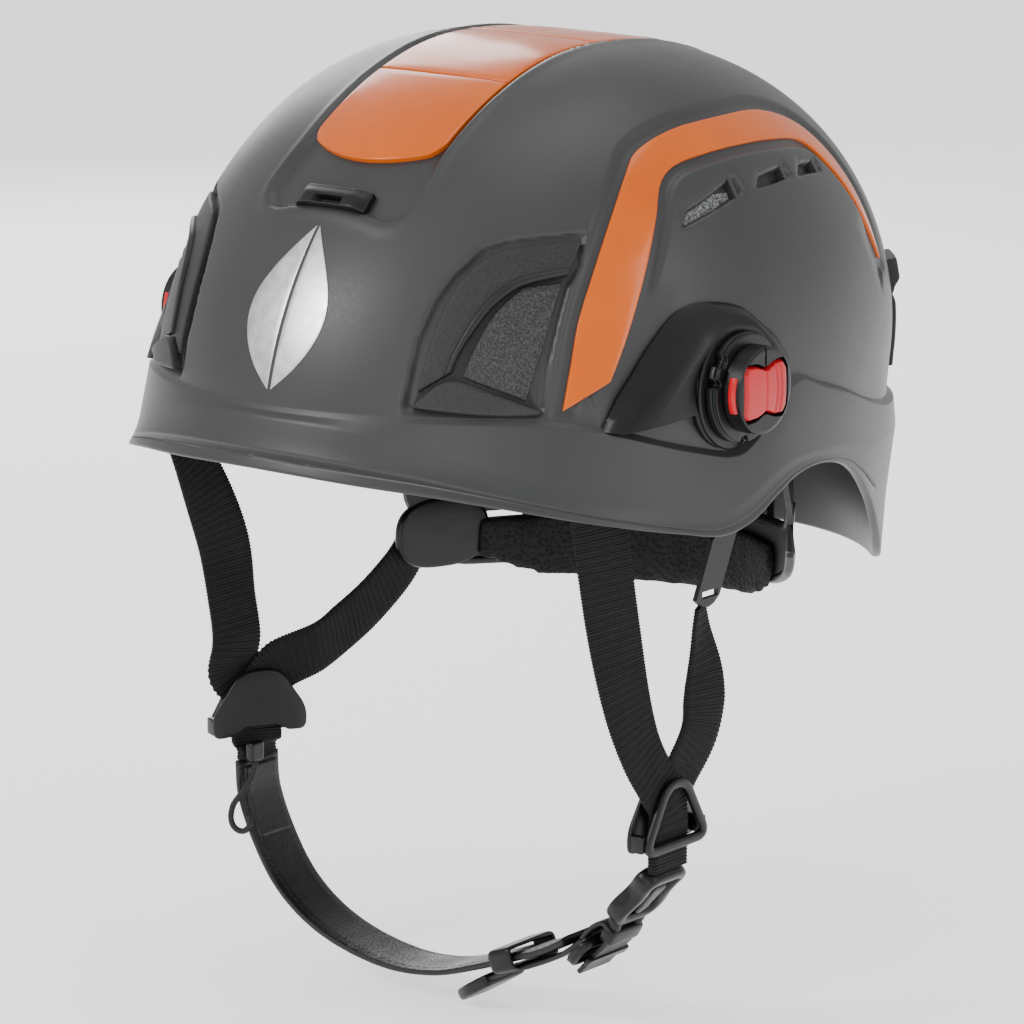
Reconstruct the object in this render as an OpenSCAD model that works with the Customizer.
// Arborist helmet with lamp clips, accessory sockets, nape cradle and Y-strap chin harness.
// Frame: origin at the middle of the head on the shell's widest line, +X wearer's left, -Y front.

/* [Shell] */
// Width of the shell at the foot of the dome
shell_w = 211; // [200:1:254]
// Length from the widest line to the front of the foot
front_len = 116; // [108:1:140]
// Length from the widest line to the back of the foot
rear_len = 150; // [138:1:180]
// Height of the dome above the widest line
rise = 107; // [98:1:128]
// Wall thickness of the shell
wall = 2.8; // [2:0.1:3.4]
// How far the crown sits behind the widest line
apex_y = 11; // [0:1:16]
// How far the rim band stands proud of the dome at the sides and the back
band_step = 2.5; // [1.5:0.1:3.5]

/* [Liner] */
// Thickness of the foam liner
foam_t = 15; // [10:1:18]
// Gap between the shell and the foam liner
foam_gap = 2; // [1.6:0.1:3]

/* [Trim] */
// Width of the orange crest
crest_w = 50; // [36:1:60]
// Thickness of the orange panels
trim_t = 0.9; // [0.6:0.1:1.6]
// Thickness of the lamp clips
clip_t = 2.6; // [2:0.1:3.5]

/* [Sockets] */
// Distance of the socket axis in front of the widest line
socket_front = 20; // [14:1:24]
// Height of the socket axis above the widest line
socket_z = 13; // [10:1:14]
// Radius of the socket drum
drum_r = 19.5; // [17:0.5:20]
// Radius of the bayonet ring
bayonet_r = 16.8; // [15:0.1:18]
// Radius of the turning cap
cap_r = 13.4; // [12:0.1:14]
// Radius of the cap's shaft
shaft_r = 8; // [6:0.1:9]
// Travel of the red release button
press = 2; // [1:0.1:2]

/* [Cradle] */
// Gap between the shell's foot and the headband
band_gap = 24; // [20:1:28]
// Height of the headband
band_h = 24; // [20:1:25]
// Thickness of the headband and of the nape cradle
band_t = 2; // [1.6:0.1:3]
// Thickness of the brow and nape pads
pad_t = 5; // [3:0.5:7]
// Radius of the size adjuster's dial
dial_r = 13; // [11:0.5:14]

/* [Straps] */
// Width of the webbing
web_w = 17; // [14:1:20]
// Thickness of the webbing
web_t = 1.3; // [1:0.1:1.4]
// Width of the padded chin strap
chin_w = 20; // [16:1:22]
// Thickness of the padded chin strap
chin_t = 3; // [2:0.1:3.4]
// Height of the left Y-slider, negative because it hangs below the origin
slider_left_z = -122; // [-126:1:-112]
// Height of the right Y-slider
slider_right_z = -114; // [-120:1:-108]
// How far the right Y-slider is twisted towards the front
slider_twist = 24; // [0:1:30]

/* [Fits] */
// Radial clearance of every turning or sliding shaft
shaft_gap = 0.05; // [0.02:0.01:0.1]
// Clearance between pieces that only lie beside each other
gap = 0.35; // [0.3:0.05:0.6]

/* [Hidden] */
fine = 64;
// Pitch radius of the size adjuster's pinion, tied to its twelve teeth.
pinion_r = 6;
half_w = shell_w / 2;
side_fill = 0.66;   // under 1 the sides stay upright before they turn over
tuck = 1.2;         // how far the back of the dome tucks in towards its foot
tuck_h = 25;
black = [0.09, 0.09, 0.1];
orange = [1, 0.42, 0];
grey = [0.33, 0.34, 0.35];

// Curves of the rim band: [angle, value], from the front (-90) round the side (0) to the back (90).
rim_z = [[-90, -8.5], [-65, -11.5], [-50, -16], [-35, -22.5], [-22, -28], [-15, -30.5], [-9, -28],
    [-3, -21.5], [3, -17], [9, -17.5], [16, -23], [24, -36], [32, -52], [40, -64], [50, -69], [90, -72]];
rim_out = [[-90, 7], [-60, 7.5], [-40, 8.2], [-20, 7], [0, 5], [12, 3], [25, 0.5], [45, -3], [90, -4]];
lip_z = [[-90, 6.5], [-70, 4], [-45, -9], [-30, -18], [-15, -24], [0, -13], [12, -14], [25, -20], [90, -25]];
lip_out = [[-90, 1.2], [-65, 1.8], [-41, 4.6], [-20, 5], [0, 4.2], [20, 2.4], [45, 1.4], [90, 1.2]];
top_z = [[-90, 9], [-60, 9], [-44, 8], [-35, 5.5], [-18, -4], [-10, -6.5], [-4, 1], [2, 11.5],
    [8, 7.5], [14, 3], [25, -6], [36, -11], [60, -14], [90, -15]];
step_out = [[-90, 0.4], [-60, 0.8], [-44, 1.5], [-33, 2.5], [90, 2.5]];

function lerp(a, b, t) = a + (b - a) * t;
function unit(v) = v / norm(v);
// The shell is the same on both sides, so an angle is folded into -90..90.
function fold(a) = let(b = a > 180 ? a - 360 : a) b > 90 ? 180 - b : b < -90 ? -180 - b : b;
function slope(k, i) = let(p = max(i - 1, 0), q = min(i + 1, len(k) - 1))
    (k[q][1] - k[p][1]) / (k[q][0] - k[p][0]);
function seek(k, x, i = 0) = i + 2 < len(k) && x >= k[i + 1][0] ? seek(k, x, i + 1) : i;
// A smooth curve through the points of a list.
function curve(k, x) = let(i = seek(k, x), d = k[i + 1][0] - k[i][0], t = (x - k[i][0]) / d)
    k[i][1] * (1 + 2 * t) * (1 - t) * (1 - t) + slope(k, i) * d * t * (1 - t) * (1 - t)
    + k[i + 1][1] * t * t * (3 - 2 * t) + slope(k, i + 1) * d * t * t * (t - 1);

function half_len(a) = sin(a) < 0 ? front_len : rear_len;
function foot_n(a) = unit([cos(a) / half_w, sin(a) / half_len(a), 0]);
function wall_pt(a, z, out) = [half_w * cos(a), half_len(a) * sin(a), z] + out * foot_n(a);
function tuck_in(a, z) = tuck * max(0, sin(a)) * pow(max(0, tuck_h - z) / tuck_h, 2);
function fill(a) = side_fill * cos(a) * cos(a) + sin(a) * sin(a);
// The dome's outer surface at angle a and elevation e.
function dome(a, e) = let(k = pow(max(cos(e), 0.0001), fill(a)))
    [half_w * cos(a) * k, half_len(a) * sin(a) * k + apex_y * sin(e), rise * sin(e)]
    - tuck_in(a, rise * sin(e)) * foot_n(a);
// The same surface by height, going straight down below the foot.
function skin(a, z) = z > 0 ? dome(a, asin(z / rise)) : wall_pt(a, z, -tuck_in(a, z));
function normal(a, z) = z > 1 ?
    let(e = min(asin(z / rise), 88))
        unit(cross(dome(a + 0.5, e) - dome(a - 0.5, e), dome(a, e + 0.5) - dome(a, e - 0.5)))
    : foot_n(a);
function on_skin(p) = [skin(p[0], p[1]), normal(p[0], p[1])];
// The angle and height of the crown's point above plan position x, y.
function crown_h(x, y, n = 12, h = 0.9) = n == 0 ? h :
    let(v = (y - apex_y * h), v1 = v / half_len(v < 0 ? -90 : 90), a = atan2(v1, x / half_w),
        c = min(1, pow(norm([x / half_w, v1]), 1 / fill(a))))
    crown_h(x, y, n - 1, sqrt(1 - c * c));
function on_crown(x, y) = let(h = crown_h(x, y), v = y - apex_y * h,
    a = atan2(v / half_len(v < 0 ? -90 : 90), x / half_w), e = asin(min(h, 1)),
    d = 0.5, hx = crown_h(x + d, y) - crown_h(x - d, y), hy = crown_h(x, y + d) - crown_h(x, y - d))
    [[x, y, rise * h], unit([-rise * hx / (2 * d), -rise * hy / (2 * d), 1])];

// Points between the points of a path.
function dense(path, k) = [for (i = [0:len(path) - 2]) for (j = [0:k - 1]) lerp(path[i], path[i + 1], j / k),
    path[len(path) - 1]];
function mirrored(g) = [for (row = g) [for (q = row)
    [[-q[0][0], q[0][1], q[0][2]], [-q[1][0], q[1][1], q[1][2]]]]];
// A closed slab over a grid of [point, normal], between two offsets. hi may be a matrix.
module slab(g, lo, hi) {
    n = len(g);
    m = len(g[0]);
    function up(r, c) = is_list(hi) ? hi[r][c] : hi;
    points = [for (r = [0:n - 1]) for (c = [0:m - 1]) g[r][c][0] + up(r, c) * g[r][c][1],
        for (r = [0:n - 1]) for (c = [0:m - 1]) g[r][c][0] + lo * g[r][c][1]];
    r0 = floor(n / 2) - 1;
    c0 = floor(m / 2) - 1;
    turn = cross(g[r0 + 1][c0][0] - g[r0][c0][0], g[r0][c0 + 1][0] - g[r0][c0][0]) * g[r0][c0][1] > 0;
    function quad(a, b, c, d) = turn ? [[a, d, c], [a, c, b]] : [[a, b, c], [a, c, d]];
    s = n * m;
    edge = [for (c = [0:m - 1]) c, for (r = [1:n - 1]) r * m + m - 1, for (c = [m - 2:-1:0]) (n - 1) * m + c,
        for (r = [n - 2:-1:1]) r * m];
    k = len(edge);
    faces = [for (r = [0:n - 2]) for (c = [0:m - 2]) let(i = r * m + c)
            for (f = concat(quad(i, i + m, i + m + 1, i + 1),
                quad(s + i, s + i + 1, s + i + m + 1, s + i + m))) f,
        for (i = [0:k - 1]) let(a = edge[i], b = edge[(i + 1) % k]) for (f = quad(a, b, s + b, s + a)) f];
    polyhedron(points, faces, convexity = 6);
}
// A grid of shell points between two paths of [angle, height].
function between(p, q, n) = [for (i = [0:len(p) - 1]) [for (j = [0:n]) on_skin(lerp(p[i], q[i], j / n))]];
module sided(g, side, lo, hi) {
    slab(side > 0 ? g : mirrored(g), lo, hi);
}
// A closed tube through rings that all have the same number of points.
module rings(r) {
    n = len(r);
    m = len(r[0]);
    points = [for (ring = r) for (p = ring) p];
    faces = [[for (i = [0:m - 1]) i], [for (i = [m - 1:-1:0]) (n - 1) * m + i],
        for (k = [0:n - 2]) for (i = [0:m - 1]) let(j = (i + 1) % m, a = k * m)
            for (f = [[a + i, a + m + i, a + m + j], [a + i, a + m + j, a + j]]) f];
    polyhedron(points, faces, convexity = 6);
}
// A flat strap through points of [place, width direction], t thick.
module ribbon(path, w, t) {
    n = len(path);
    rings([for (i = [0:n - 1]) let(p = path[i][0], s = unit(path[i][1]),
        run = unit(path[min(i + 1, n - 1)][0] - path[max(i - 1, 0)][0]), up = unit(cross(run, s)),
        x = unit(cross(up, run)) * w / 2, y = up * t / 2) [p - x - y, p + x - y, p + x + y, p - x + y]]);
}
// A round tube through points.
module tube(path, r, sides) {
    n = len(path);
    rings([for (i = [0:n - 1]) let(run = unit(path[min(i + 1, n - 1)] - path[max(i - 1, 0)]),
        x = unit(cross(run, [0, 1, 0])), y = cross(x, run))
        [for (k = [0:sides - 1]) path[i] + r * (x * cos(-360 * k / sides) + y * sin(-360 * k / sides))]]);
}
module ring(r_out, r_in, h) {
    difference() {
        cylinder(r = r_out, h = h, $fn = fine);
        translate([0, 0, -1]) cylinder(r = r_in, h = h + 2, $fn = fine);
    }
}
module pair() {
    children();
    mirror([1, 0, 0]) children();
}
// Children drawn with +Z as +X, at the socket axis, x away from the middle.
module at_socket(x) {
    translate([x, -socket_front, socket_z]) rotate([0, 90, 0]) children();
}

// ---- shell ----
around = 48;
climb = [9, 18, 28, 38, 48, 58, 68, 78];
function outer_rim(a) = let(b = fold(a), zt = curve(top_z, b), t = tuck_in(a, zt))
    [wall_pt(a, curve(rim_z, b), curve(rim_out, b)), wall_pt(a, curve(lip_z, b), curve(lip_out, b)),
        skin(a, zt - 1) + curve(step_out, b) * foot_n(a)];
function foot_e(a) = let(z = curve(top_z, fold(a)) + 1) z > 0 ? asin(z / rise) : z / rise * 57;
function shell_pt(a, e, off) = let(z = rise * sin(e)) skin(a, z) + off * normal(a, z);
function dome_col(a, off) = let(f = foot_e(a)) [shell_pt(a, f, off),
    for (e = climb) shell_pt(a, max(e, f + (e - f) * 0.5 + 2), off)];
function inner_col(a) = concat([for (p = outer_rim(a)) p - wall * foot_n(a)], dome_col(a, -wall));
module dome_solid(cols, top, cols_in, top_in) {
    n = len(cols);
    m = len(cols[0]);
    k = len(cols_in[0]);
    s = n * m + 1;
    points = concat([for (c = cols) for (p = c) p], [top], [for (c = cols_in) for (p = c) p], [top_in]);
    faces = [for (i = [0:n - 1]) let(a = i * m, b = ((i + 1) % n) * m, c = s + i * k,
            d = s + ((i + 1) % n) * k)
        for (f = concat(
            [for (j = [0:m - 2]) for (f = [[a + j, a + j + 1, b + j + 1], [a + j, b + j + 1, b + j]]) f],
            [[a + m - 1, s - 1, b + m - 1]],
            [for (j = [0:k - 2]) for (f = [[c + j, d + j + 1, c + j + 1], [c + j, d + j, d + j + 1]]) f],
            [[c + k - 1, d + k - 1, s + n * k]], [[a, b, d], [a, d, c]])) f];
    polyhedron(points, faces, convexity = 8);
}
// Vent openings on each side: [front y, back y, front z, back z, height].
vents = [[-26, 3, 60, 67.5, 4.5], [10.5, 31, 67.5, 68, 3.4], [37, 54, 68, 66.5, 3]];
module vent_cut(v) {
    rotate([90, 0, 90]) translate([0, 0, half_w * 0.6])
        linear_extrude(half_w * 0.5)
            polygon([[v[0], v[2]], [v[1], v[3]], [v[1] - 1.5, v[3] + v[4]], [v[0] + 4, v[2] + v[4]]]);
}
module outer_shell() {
    angles = [for (i = [0:around - 1]) -180 + 360 * i / around];
    color(grey) difference() {
        dome_solid([for (a = angles) concat(outer_rim(a), dome_col(a, 0))], [0, apex_y, rise],
            [for (a = angles) inner_col(a)], [0, apex_y, rise - wall]);
        pair() at_socket(half_w - 14) cylinder(r = drum_r + gap, h = 20, $fn = fine);
        pair() for (v = vents) vent_cut(v);
    }
}
foam_foot = 9.5;   // elevation of the foam's lower edge
function foam_col(a, off, foot) = [for (e = [foot, 20, 32, 45, 58, 71, 81]) shell_pt(a, e, off)];
module foam_liner() {
    angles = [for (i = [0:31]) -180 + 360 * i / 32];
    out = -wall - foam_gap;
    color([0.2, 0.2, 0.21]) difference() {
        dome_solid([for (a = angles) foam_col(a, out, foam_foot)], [0, apex_y, rise + out],
            [for (a = angles) foam_col(a, out - foam_t, foam_foot)], [0, apex_y, rise + out - foam_t]);
        pair() at_socket(half_w - 26) cylinder(r = drum_r + 2, h = 30, $fn = fine);
    }
}
module crown_pad() {
    off = -wall - foam_gap - foam_t;
    color([0.13, 0.13, 0.14])
        slab([for (y = [-30:10:55]) [for (x = [-32:8:32]) on_crown(x * (1 - pow((y - 12) / 95, 2)), y)]],
            off - 6, off - 0.8);
}

// ---- crest, stripes and badge ----
crest_half = crest_w / 2;
crest_front_y = -71;
crest_split = [-32, 12];
crest_back_y = 58;
crest_gap = 0.6;
// A crest panel from front line f to back line b; the lines bow by the given amounts.
module crest_panel(f, b, bow_f, bow_b) {
    color(orange) slab([for (t = [0:0.125:1]) [for (u = [-1:0.2:1])
        on_crown(crest_half * u, lerp(f + bow_f * u * u, b + bow_b * u * u, t))]], gap, gap + trim_t);
}
module crest_front() {
    crest_panel(crest_front_y, crest_split[0] - crest_gap, 8, 2);
}
module crest_middle() {
    crest_panel(crest_split[0], crest_split[1] - crest_gap, 2, 1);
}
module crest_rear() {
    crest_panel(crest_split[1], crest_back_y, 1, -4);
}
stripe_out = [[-40.5, 11], [-39.5, 24], [-38.3, 37], [-35.5, 51], [-32, 64], [-27.5, 76], [-23, 82.5],
    [-11.5, 87], [5.5, 88], [16.5, 86.6], [26, 81], [31.5, 72], [35, 57], [36.5, 34]];
stripe_in = [[-33, 18.6], [-30.5, 30], [-28, 42], [-25.6, 53], [-23, 64], [-20.5, 73], [-15.5, 77.6],
    [-6, 79.6], [3, 80], [12, 79.2], [22, 76.2], [27.5, 67.5], [32, 54], [36, 35]];
module stripe(side) {
    color(orange) sided(between(dense(stripe_out, 2), dense(stripe_in, 2), 2), side, gap, gap + trim_t);
}
module stripe_left() {
    stripe(1);
}
module stripe_right() {
    stripe(-1);
}
// A plain leaf on the forehead: [distance up the leaf, half width].
leaf = [[0, 0.6], [6, 7], [13, 12], [20, 14.5], [27, 14], [34, 10.5], [40, 6], [46, 0.6]];
badge_foot = 14;
module front_badge() {
    color([0.78, 0.79, 0.8]) slab([for (p = leaf) let(z = badge_foot + p[0], w = p[1] / 1.75)
        [for (u = [-1:0.5:1]) on_skin([-90 + u * w, z])]], gap, gap + 0.4);
}
clip_y = -86.5;
module front_clip() {
    color(black) difference() {
        slab([for (y = [clip_y, clip_y + 2, clip_y + 4]) [for (x = [-14:3.5:14]) on_crown(x, y)]], gap, 3);
        translate([-2.5, clip_y - 6, rise / 2]) cube([5, 5.5, 20]);
    }
}
// Screens behind the vents, let into the foam's outer face.
module vent_screens() {
    off = -wall - foam_gap + 2.4 * gap;
    color([0.3, 0.3, 0.31]) for (side = [1, -1]) for (v = vents)
        sided([for (y = [v[0] - 1:(v[1] - v[0] + 2) / 4:v[1] + 1.1]) [for (t = [0:0.5:1])
            let(z = lerp(v[2], v[3], (y - v[0]) / (v[1] - v[0])) - 2 + t * (v[4] + 4))
            on_skin([asin((y - apex_y * z / rise) / half_len(y) / pow(cos(asin(z / rise)), side_fill)), z])]],
            side, off, off + 0.5);
}

// ---- lamp clips ----
arm_out = [[-63.5, 17], [-62.8, 26], [-61.3, 38], [-58.5, 48], [-54.5, 54.5],
    [-50, 57], [-44, 58], [-37.7, 58.5]];
arm_in = [[-59, 22], [-58, 28], [-56, 35], [-53.5, 41.5], [-50, 46.5],
    [-47, 48.5], [-43.5, 49.6], [-40, 50.4]];
plate_a = [[-56.6, 21.5], [-55, 30], [-52.8, 38], [-50, 43.5], [-47.5, 46.5]];
plate_b = [[-46.4, 14.5], [-45, 24], [-43.6, 33], [-42.4, 41], [-41.3, 47.6]];
foot_hi = [[-63.5, 14], [-58.6, 20.5], [-52, 17], [-46.5, 13.2], [-44, 11.5]];
foot_lo = [[-64, 12.4], [-60, 11.6], [-54, 10.6], [-48, 10], [-44.2, 9.9]];
module lamp_clip(side) {
    color(black) {
        g = between(dense(arm_out, 2), dense(arm_in, 2), 3);
        sided(g, side, gap, clip_t);
        f = between(dense(foot_hi, 2), dense(foot_lo, 2), 2);
        sided(f, side, gap, [for (row = f) [clip_t, clip_t + 1.4, clip_t + 2]]);
    }
}
module lamp_clip_left() {
    lamp_clip(1);
}
module lamp_clip_right() {
    lamp_clip(-1);
}
module lamp_latch(side) {
    color(black) sided(between(dense(plate_a, 2), dense(plate_b, 2), 4), side, gap, clip_t - 0.6);
}
module lamp_latch_left() {
    lamp_latch(1);
}
module lamp_latch_right() {
    lamp_latch(-1);
}
module rear_clip(side) {
    front = dense([[44, -4], [45, 8], [46, 18], [47, 29]], 3);
    back = dense([[58, -4], [57, 8], [56, 18], [55, 29]], 3);
    g = between(front, back, 3);
    high = [for (i = [0:len(g) - 1]) [for (j = [0:3]) i < 6 ? 1.5 : i == 6 ? 3.6 : 3.4]];
    color(black) sided(g, side, gap, high);
}
module rear_clip_left() {
    rear_clip(1);
}
module rear_clip_right() {
    rear_clip(-1);
}

// ---- accessory sockets: every x is counted from the middle of the helmet ----
drum_in = half_w - 8.5;
drum_face = half_w - 1;
bayonet_face = drum_face + 3.8;
cap_back = bayonet_face + gap;
cap_face = cap_back + 6;
flange_t = 2;
socket_room = 3;   // room round the bayonet ring for an accessory's collar
housing_out = [[-34.6, 4.6], [-32, 14], [-29.5, 21], [-27, 27.7], [-23, 35.5], [-19.5, 38.3], [-15.5, 38.6],
    [-9.5, 36], [-5.2, 30.4], [-1.5, 25], [0.8, 19]];
housing_mid = [[-31.8, 3.6], [-27.8, 11], [-25, 16.5], [-22.4, 22], [-19.5, 28], [-17.2, 32], [-14, 34],
    [-9, 32.6], [-5.8, 28], [-3, 22.6], [-1.2, 17.5]];
module socket(side) {
    inner = [for (i = [0:10]) let(t = 205 - 20 * i) [-11 + 7.2 * cos(t), socket_z + 13 * sin(t)]];
    g = [for (i = [0:10]) [on_skin(housing_out[i]), on_skin(housing_mid[i]),
        on_skin(lerp(housing_mid[i], inner[i], 0.5)), on_skin(inner[i])]];
    high = [for (i = [0:10]) let(h = i < 5 ? 5 : 4) [0.9, h, h + 1, 4]];
    color(black) mirror([side < 0 ? 1 : 0, 0, 0]) difference() {
        union() {
            slab(g, gap, high);
            at_socket(drum_in) cylinder(r = drum_r, h = drum_face - drum_in - gap, $fn = fine);
        }
        at_socket(drum_face - gap) cylinder(r = bayonet_r + socket_room, h = 30, $fn = fine);
        at_socket(drum_in - 1) cylinder(r = shaft_r + shaft_gap, h = 20, $fn = fine);
    }
}
module socket_left() {
    socket(1);
}
module socket_right() {
    socket(-1);
}
module bayonet(side) {
    high = bayonet_face - drum_face;
    color(black) mirror([side < 0 ? 1 : 0, 0, 0]) at_socket(drum_face) difference() {
        ring(bayonet_r, shaft_r + shaft_gap, high);
        for (k = [0:2]) rotate(120 * k) translate([bayonet_r - 2.2, -3, high - 1]) cube([4, 6, 1.4]);
    }
}
module bayonet_left() {
    bayonet(1);
}
module bayonet_right() {
    bayonet(-1);
}
// The waisted outline of the red button.
button_w = 21;
button_h = 16.4;
module waisted(grow) {
    intersection() {
        circle(r = cap_r - 1.4 + grow, $fn = fine);
        difference() {
            square([button_h + 2 * grow, button_w + 2 * grow], center = true);
            for (s = [1, -1]) translate([s * (button_h / 2 + 8.2 + grow), 0]) circle(r = 10, $fn = fine);
        }
    }
}
pocket_x = cap_back + 1;
button_back = pocket_x + press + 0.2;
wing_h = 10.4;
module hub(side) {
    color(black) mirror([side < 0 ? 1 : 0, 0, 0]) difference() {
        union() {
            at_socket(cap_back) cylinder(r = cap_r, h = cap_face - cap_back, $fn = fine);
            at_socket(drum_in - gap - 1)
                cylinder(r = shaft_r, h = cap_back - drum_in + gap + 1.5, $fn = fine);
            at_socket(drum_in - gap - flange_t) cylinder(r = shaft_r + 2.5, h = flange_t, $fn = fine);
        }
        at_socket(pocket_x) linear_extrude(20) waisted(gap);
        at_socket(pocket_x) translate([-wing_h / 2 - gap, -cap_r - 1, 0])
            cube([wing_h + 2 * gap, 2 * cap_r + 2, press + 2.8]);
        at_socket(drum_in - 1) cylinder(r = 3 + shaft_gap, h = 30, $fn = fine);
    }
}
module hub_left() {
    hub(1);
}
module hub_right() {
    hub(-1);
}
module release(side) {
    color([0.85, 0.1, 0.16]) mirror([side < 0 ? 1 : 0, 0, 0]) {
        difference() {
            at_socket(button_back) linear_extrude(cap_face - button_back + 0.8) waisted(0);
            at_socket(cap_face + 0.3) translate([-10, -0.4, 0]) cube([20, 0.8, 2]);
        }
        at_socket(button_back) intersection() {
            translate([-wing_h / 2, -cap_r, 0]) cube([wing_h, 2 * cap_r, 2]);
            cylinder(r = cap_r - 0.2, h = 3, $fn = fine);
        }
        at_socket(drum_in + 5) cylinder(r = 3, h = button_back - drum_in - 4.5, $fn = fine);
    }
}
module release_left() {
    release(1);
}
module release_right() {
    release(-1);
}
// Each spring is drawn at its pressed length, below the button's stem.
spring_r = 2.6;
module spring(side) {
    color("silver") mirror([side < 0 ? 1 : 0, 0, 0]) at_socket(drum_in - 0.8)
        ring(spring_r, spring_r - 0.8, 3.4);
}
module spring_left() {
    spring(1);
}
module spring_right() {
    spring(-1);
}

// ---- head cradle ----
band_w = half_w - band_gap;
band_front = front_len - band_gap + 6;
band_rear = rear_len - band_gap - 14;
function cradle_pt(a, z, out = 0) = let(l = sin(a) < 0 ? band_front : band_rear,
    n = unit([cos(a) / band_w, sin(a) / l, 0])) [[band_w * cos(a), l * sin(a), z] + out * n, n];
// A band round the head: heights by angle, between two offsets.
module head_band(angles, low, high, lo, hi) {
    slab([for (a = angles) [for (t = [0:0.5:1]) cradle_pt(a, lerp(curve(low, a), curve(high, a), t))]],
        lo, hi);
}
band_low = -14;
band_top = 2;
pivot_a = 22;
pivot_z = -8;
pin_r = 2;
module headband() {
    color(black) difference() {
        head_band([for (i = [0:36]) 30 - 240 * i / 36],
            [[-220, band_low], [-190, band_low], [-90, band_low + 4], [10, band_low], [40, band_low]],
            [[-220, band_top], [-190, band_top], [-90, band_low + band_h], [10, band_top], [40, band_top]],
            0, band_t);
        pivots() cylinder(r = pin_r + shaft_gap, h = 40, center = true, $fn = fine);
    }
}
// Children on the cradle's two pivots, +Z outwards along X.
module pivots() {
    for (s = [1, -1]) translate([s * band_w * cos(pivot_a), band_rear * sin(pivot_a), pivot_z])
        rotate([0, s * 90, 0]) children();
}
module cradle_pins() {
    color("silver") pivots() translate([0, 0, -6]) {
        cylinder(r = pin_r, h = 15, $fn = fine);
    }
}
hanger_a = [-55, 9];
module hangers() {
    color(black) for (s = [0, 1]) for (a = hanger_a) {
        b = s == 0 ? a : 180 - a;
        n = cradle_pt(b, 0)[1];
        p = cradle_pt(b, 0, band_t + gap)[0];
        q = skin(b, 2) - (wall + gap) * foot_n(b);
        side = [-n[1], n[0], 0] * 5;
        rings([[p - side, p + side, p + side - [0, 0, 8], p - side - [0, 0, 8]],
            [q - side - [0, 0, 2], q + side - [0, 0, 2], q + side - [0, 0, 8], q - side - [0, 0, 8]]]);
    }
}
module brow_pad() {
    color([0.12, 0.12, 0.13]) head_band([for (i = [0:20]) -35 - 110 * i / 20],
        [[-150, band_low + 3], [-90, band_low + 5], [-30, band_low + 3]],
        [[-150, 4], [-90, band_low + band_h - 2], [-30, 4]], -pad_t - gap, -gap);
}
// The nape cradle hangs inside the headband, with room between them for its swing.
swing_gap = 1.6;
nape_out = -swing_gap;
nape_in = nape_out - band_t;
nape_top = [[40, -44], [52, -56], [70, -60], [90, -61], [150, -60], [158, -63]];
nape_low = [[40, -62], [52, -74], [66, -81], [90, -83], [145, -82], [158, -77]];
arm_left = [[pivot_a, pivot_z], [26, -18], [33, -31], [40, -46], [46, -56]];
arm_right = [[180 - pivot_a, pivot_z], [157, -24], [156, -42], [154, -58], [152, -66]];
// An arm of the nape cradle; its edges drop by the given slant.
module cradle_arm(path, slant) {
    slab([for (p = dense(path, 2)) [for (u = [-1, 0, 1]) cradle_pt(p[0] + 4.5 * u, p[1] - slant * u)]],
        nape_in, nape_out);
}
module nape_cradle() {
    color(black) difference() {
        union() {
            head_band([for (i = [0:28]) 42 + 116 * i / 28], nape_low, nape_top, nape_in, nape_out);
            cradle_arm(arm_left, 3);
            cradle_arm(arm_right, 0);
        }
        pivots() cylinder(r = pin_r + shaft_gap, h = 20, center = true, $fn = fine);
        for (x = [-60, -34]) translate([x - 6, 20, -67]) cube([12, 120, 2.4]);
    }
}
module nape_pad() {
    color([0.12, 0.12, 0.13]) head_band([for (i = [0:18]) 60 + 84 * i / 18],
        [[58, -76], [66, -86], [90, -90], [130, -88], [148, -80]], [[58, -66], [90, -64], [148, -66]],
        nape_in - gap - pad_t, nape_in - gap);
}

// ---- size adjuster on the nape cradle ----
// The adjuster's parts are drawn in its own plane: X across, Z up, Y counted from the gears' front face.
dial_z = -71;
gear_y = band_rear + 3.1;
gear_t = 3;
teeth = 12;
pitch = 2 * PI * pinion_r / teeth;
addendum = 0.75;
root_gap = 1.2;
rack_h = 5;
rack_len = 34;
rack_teeth = 4;
module in_gear_plane(y) {
    translate([0, gear_y + y, dial_z]) rotate([90, 0, 0]) children();
}
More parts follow.
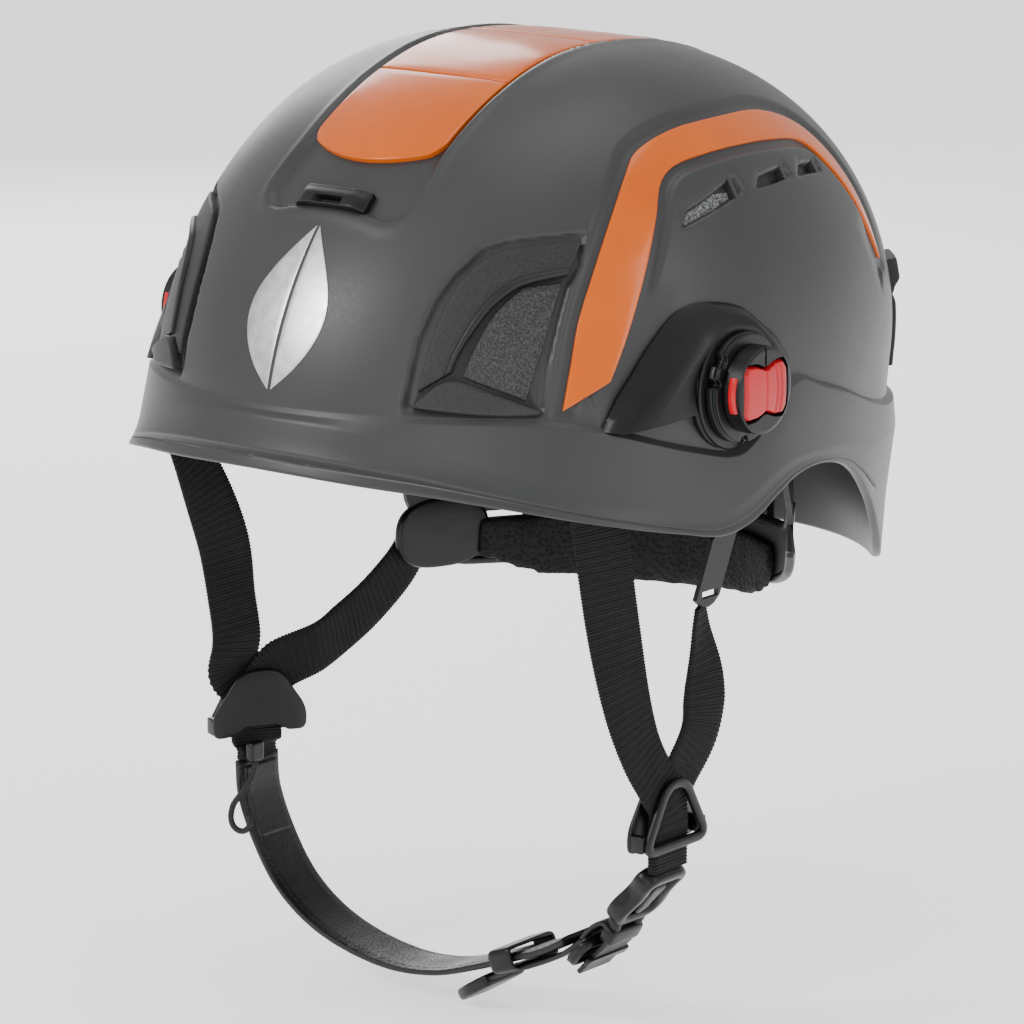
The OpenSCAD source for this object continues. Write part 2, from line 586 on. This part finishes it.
// A rack: its teeth point at the pinion, half a pitch off the middle.
module rack(up) {
    root = pinion_r + 1.6;
    tip = pinion_r - 0.7;
    color(black) in_gear_plane(gear_t) mirror([0, up > 0 ? 0 : 1, 0]) linear_extrude(gear_t)
        polygon(concat([[rack_len / 2, pinion_r + rack_h], [-rack_len / 2, pinion_r + rack_h],
            [-rack_len / 2, root]],
            [for (k = [-rack_teeth:rack_teeth - 1]) let(x = (k + 0.5) * pitch)
                for (p = [[x - 1.15, root], [x - 0.35, tip], [x + 0.35, tip], [x + 1.15, root]]) p],
            [[rack_len / 2, root]]));
}
module rack_left() {
    rack(1);
}
module rack_right() {
    rack(-1);
}
dial_shaft_r = 2.5;
dial_t = 4;
house_back = gear_t + 1.1;
house_front = gear_y - band_rear;
dial_back = house_back + 0.4;
module nape_dial() {
    color(black) {
        in_gear_plane(dial_back + dial_t) difference() {
            cylinder(r = dial_r, h = dial_t, $fn = fine);
            for (k = [0:17]) rotate(20 * k) translate([dial_r + 0.6, 0, -1])
                cylinder(r = 1.3, h = 6, $fn = 24);
        }
        in_gear_plane(dial_back + 1)
            cylinder(r = dial_shaft_r, h = dial_back + house_front + 0.5, $fn = fine);
        in_gear_plane(gear_t) linear_extrude(gear_t) polygon([for (k = [0:teeth - 1]) for (p = [
            [pinion_r - root_gap, -14], [pinion_r, -6], [pinion_r + addendum, -3],
            [pinion_r + addendum, 3], [pinion_r, 6], [pinion_r - root_gap, 14]])
                p[0] * [cos(360 * k / teeth + p[1]), sin(360 * k / teeth + p[1])]]);
    }
}
module dial_housing() {
    w = rack_len / 2 + 3;
    h = pinion_r + rack_h + 2.4;
    color(black) in_gear_plane(house_back) difference() {
        translate([-w, -h, 0]) cube([2 * w, 2 * h, house_back + house_front]);
        translate([-w - 1, -h + 1.4, house_back - gear_t - gap])
            cube([2 * w + 2, 2 * h - 2.8, gear_t + 2 * gap]);
        translate([0, 0, -5]) cylinder(r = dial_shaft_r + shaft_gap, h = 30, $fn = fine);
    }
}

// ---- straps: route points chosen by hand, tied to the strap line and the Y-sliders ----
strap_x = half_w - 22.5;
strap_y = -25;
layer = web_t / 2 + 0.2;
along_y = [0, 1, 0];
// The last points of a strap, inside its Y-slider; s is 1 for the outer layer and -1 for the inner.
function into_slider(z, twist, s, lean) = let(n = [cos(twist), sin(twist), 0],
    w = [-sin(twist), cos(twist), 0], c = [strap_x, strap_y, z] + s * layer * n)
    [[c + (lean[0] * w) + [0, 0, 11], w + [0, 0, lean[1]]], [c + (lean[0] * 0.25 * w) + [0, 0, 4], w],
        [c - [0, 0, 2], w], [c - [0, 0, 9], w]];
// The front straps start on the anchor plates inside the shell.
anchor_a = -37;
anchor_low = wall_pt(anchor_a, -13, -2 * wall);
front_left = concat([[anchor_low + [4.86, 2.14, 0], [0.61, 0.79, 0.15]], [[strap_x + 1, -61, -28], [0.6, 0.8, 0.2]],
    [[strap_x + 0.3, -54, -57], [0.53, 0.83, 0.2]], [[strap_x + 0.3, -47, -82], [0.31, 0.93, 0.25]],
    [[strap_x + 0.6, -40, -99], [0.1, 0.97, 0.25]]], into_slider(slider_left_z, 0, 1, [-7, 0.25]));
front_right = concat([[anchor_low + [5.36, 3.64, 0], [0.3, 0.9, 0.1]],
    [[strap_x + 1, -53.5, -28], [0, 0.97, 0.25]], [[strap_x + 0.9, -40, -56], [-0.5, 0.85, 0.15]],
    [[strap_x + 1.2, -35, -78], [-0.35, 0.95, 0.1]], [[strap_x + 1.6, -32.5, -92], [-0.4, 0.92, 0.1]]],
    into_slider(slider_right_z, slider_twist, 1, [-8, 0.2]));
rear_left = concat([[[strap_x, -9, -60], [-0.4, 0.9, 0]], [[strap_x, -8.6, -68], [-0.2, 0.97, 0]],
    [[strap_x, -6.5, -84], [0.2, 0.97, 0]], [[strap_x - 0.3, -8, -99], [0.1, 0.97, -0.15]]],
    into_slider(slider_left_z, 0, -1, [8, -0.4]));
// The right rear strap comes forward from the cradle and folds down into its slider.
function folded(p) = [for (i = [0:len(p) - 1]) let(run = p[min(i + 1, len(p) - 1)] - p[max(i - 1, 0)])
    [p[i], [0, -run[2], run[1]]]];
rear_right = concat(folded([[strap_x - 5.5, 50, -73], [strap_x - 5.7, 42, -81], [strap_x - 6, 26, -90],
    [strap_x - 7.5, 9, -95.5], [strap_x - 8.4, -4, -99]]),
    [into_slider(slider_right_z, slider_twist, -1, [8, -0.3])[0]],
    [for (k = [1:3]) into_slider(slider_right_z, slider_twist, -1, [8, 0])[k]]);
module strap(path, side, w, t) {
    color([0.07, 0.07, 0.08]) mirror([side < 0 ? 1 : 0, 0, 0]) ribbon(path, w, t);
}
module front_strap_left() {
    strap(front_left, 1, web_w, web_t);
}
module front_strap_right() {
    strap(front_right, -1, web_w, web_t);
}
module rear_strap_left() {
    strap(rear_left, 1, web_w, web_t);
}
module rear_strap_right() {
    strap(rear_right, -1, web_w, web_t);
}
// Plates that hold the tops of the front straps to the inside of the shell.
module strap_anchors() {
    color(black) pair() slab([for (a = [anchor_a - 4, anchor_a, anchor_a + 4]) [for (z = [-12.6, -4, 4])
        [wall_pt(a, z, -2 * wall), foot_n(a)]]], -1.4, 1.4);
}
// The tab that holds the left rear strap, hung from the headband.
module strap_guide() {
    color(black) difference() {
        slab([for (t = [0:0.2:1]) [for (u = [-1:0.5:1]) [[strap_x + 2.2, lerp(12, -9, t) + 6 * u,
            lerp(-16, -60, t) + (t > 0.5 ? 1 : -1) * 3 * u * u], [1, 0, 0]]]], -0.8, 0.8);
        translate([strap_x - 5, -12, -57]) cube([15, 8, 2.2]);
    }
}
// The Y-slider: a plate on the head's side and an open triangular ring on the outside.
slider_w = 34;
slider_h = 22;
module slider_plan(w, h) {
    polygon([[-w / 2, -h / 2 + 2], [-w / 2 + 2, -h / 2], [w / 2 - 2, -h / 2], [w / 2, -h / 2 + 2],
        [w / 2 - 3, -h / 2 + 7], [4, h / 2 - 1], [2, h / 2], [-2, h / 2], [-4, h / 2 - 1],
        [-w / 2 + 3, -h / 2 + 7]]);
}
slider_room = layer + web_t / 2 + gap;
slider_plate = 1.6;
slider_ring = 2;
module slider(side, z, twist) {
    color(black) mirror([side < 0 ? 1 : 0, 0, 0]) translate([strap_x, strap_y, z]) rotate([0, 0, twist])
        rotate([90, 0, 90]) {
            translate([0, 0, -slider_room - slider_plate]) linear_extrude(slider_plate)
                slider_plan(slider_w, slider_h);
            translate([0, 0, slider_room]) linear_extrude(slider_ring) difference() {
                slider_plan(slider_w, slider_h);
                translate([0, -0.6]) slider_plan(slider_w - 9, slider_h - 7);
            }
            for (s = [1, -1]) translate([s * (slider_w / 2 - 1.6) - 1, -slider_h / 2 + 2, -slider_room - 1])
                cube([2, 3, 2 * slider_room + 2]);
        }
}
module slider_left() {
    slider(1, slider_left_z, 0);
}
module slider_right() {
    slider(-1, slider_right_z, slider_twist);
}
web_drop = 18;
module lower_web(side, z, twist) {
    w = [-sin(twist), cos(twist), 0];
    strap([for (p = [[z - 9.2, w], [z - 13, w], [z - web_drop + 3, along_y], [z - web_drop, along_y]])
        [[strap_x, strap_y, p[0]], p[1]]], side, web_w, 2 * web_t + 0.4);
}
module lower_web_left() {
    lower_web(1, slider_left_z, 0);
}
module lower_web_right() {
    lower_web(-1, slider_right_z, slider_twist);
}

// ---- chin strap, from the right-hand Y-slider under the chin to the buckle ----
chin_end = [50, -167.5];
chin_path = [[-strap_x, slider_right_z - web_drop - 0.2], [-strap_x + 1, -144], [-76, -158], [-67, -171],
    [-54.5, -180.5], [-39, -186.5], [-20, -189.5], [-2, -188], [14, -183], [27, -178], [40, -173], chin_end];
module chin_strap() {
    color([0.1, 0.1, 0.1]) ribbon([for (p = chin_path) [[p[0], strap_y, p[1]], along_y]], chin_w, chin_t);
}
// Children with +X along the strap towards the chin and +Z away from the head.
module on_strap(x, z, tilt) {
    translate([x, strap_y, z]) rotate([0, tilt, 0]) children();
}
keeper_tilt = 159;
module keeper() {
    color(black) on_strap(27, -178, keeper_tilt) difference() {
        translate([-4.5, -chin_w / 2 - 2, -chin_t]) cube([9, chin_w + 4, 2 * chin_t + 4]);
        translate([-6, -chin_w / 2 - gap, -chin_t + 1]) cube([12, chin_w + 2 * gap, 2 * chin_t + 1.6]);
    }
}
module end_tab() {
    color(black) on_strap(13, -190, 148) translate([-8, -chin_w / 2, -1.6]) cube([16, chin_w, 3.6]);
}
// The buckle's own line: it runs from under the left Y-slider down towards the chin.
buckle_x = 74;
buckle_z = -150;
buckle_tilt = 131.4;
module slide_bar() {
    color(black) on_strap(buckle_x, buckle_z, buckle_tilt) difference() {
        translate([22.5, -chin_w / 2 - 2.5, -1.7]) cube([8, chin_w + 5, 3.4]);
        translate([24, -chin_w / 2 - gap, -3]) cube([5, chin_w + 2 * gap, 6]);
    }
}
// The strap's loop through the plug; its free end lies over the slide bar.
module plug_loop() {
    color([0.1, 0.1, 0.1]) on_strap(buckle_x, buckle_z, buckle_tilt)
        translate([14.2, -chin_w / 2 + 2, 2.2]) cube([18, chin_w - 4, 1.4]);
}
module buckle_socket() {
    color(black) on_strap(buckle_x, buckle_z, buckle_tilt) difference() {
        translate([-12, -11, -4]) cube([20, 22, 8]);
        translate([-2, -8, -2]) cube([12, 16, 4]);
        translate([-10, -web_w / 2 - gap, -5]) cube([5, web_w + 2 * gap, 10]);
        for (s = [1, -1]) translate([1, s * 11 - 2, -5]) cube([4, 4, 10]);
    }
}
module buckle_plug() {
    color(black) on_strap(buckle_x, buckle_z, buckle_tilt) difference() {
        union() {
            for (s = [1, -1]) translate([-1, s * 5.6 - 1.6, -1.6]) cube([12, 3.2, 3.2]);
            translate([8.4, -10, -2]) cube([5.6, 20, 4]);
        }
        translate([10.6, -6.5, -5]) cube([2.2, 13, 10]);
    }
}
// The elastic loop and its tab below the right-hand Y-slider.
cord_r = 1;
cord_route = [[-78.5, -31, -132.3], [-78.6, -31.4, -134.5], [-78.7, -32.4, -136.8], [-79, -33.9, -139],
    [-79.6, -35.6, -141.2], [-80.7, -36.8, -143.4], [-82, -37.6, -145.6], [-82.3, -38.5, -147.8],
    [-82.2, -39, -150], [-81.6, -39.1, -152], [-80.4, -38.8, -153.5], [-78.8, -38.2, -154.2],
    [-77.2, -37.5, -153.8], [-76.2, -37, -152.4], [-76.1, -36.6, -150.6], [-76.7, -36.3, -149]];
module cord_loop() {
    color(black) tube(cord_route, cord_r, 8);
}
module cord_tab() {
    color(black) translate([-80, -34, -132]) cube([3, 6, 6.4]);
}

outer_shell();
foam_liner();
crown_pad();
crest_front();
crest_middle();
crest_rear();
stripe_left();
stripe_right();
front_badge();
front_clip();
vent_screens();
lamp_clip_left();
lamp_clip_right();
lamp_latch_left();
lamp_latch_right();
rear_clip_left();
rear_clip_right();
socket_left();
socket_right();
bayonet_left();
bayonet_right();
hub_left();
hub_right();
release_left();
release_right();
spring_left();
spring_right();
headband();
hangers();
brow_pad();
cradle_pins();
nape_cradle();
nape_pad();
dial_housing();
nape_dial();
rack_left();
rack_right();
strap_anchors();
front_strap_left();
front_strap_right();
rear_strap_left();
rear_strap_right();
strap_guide();
slider_left();
slider_right();
lower_web_left();
lower_web_right();
cord_tab();
cord_loop();
chin_strap();
keeper();
end_tab();
slide_bar();
plug_loop();
buckle_socket();
buckle_plug();
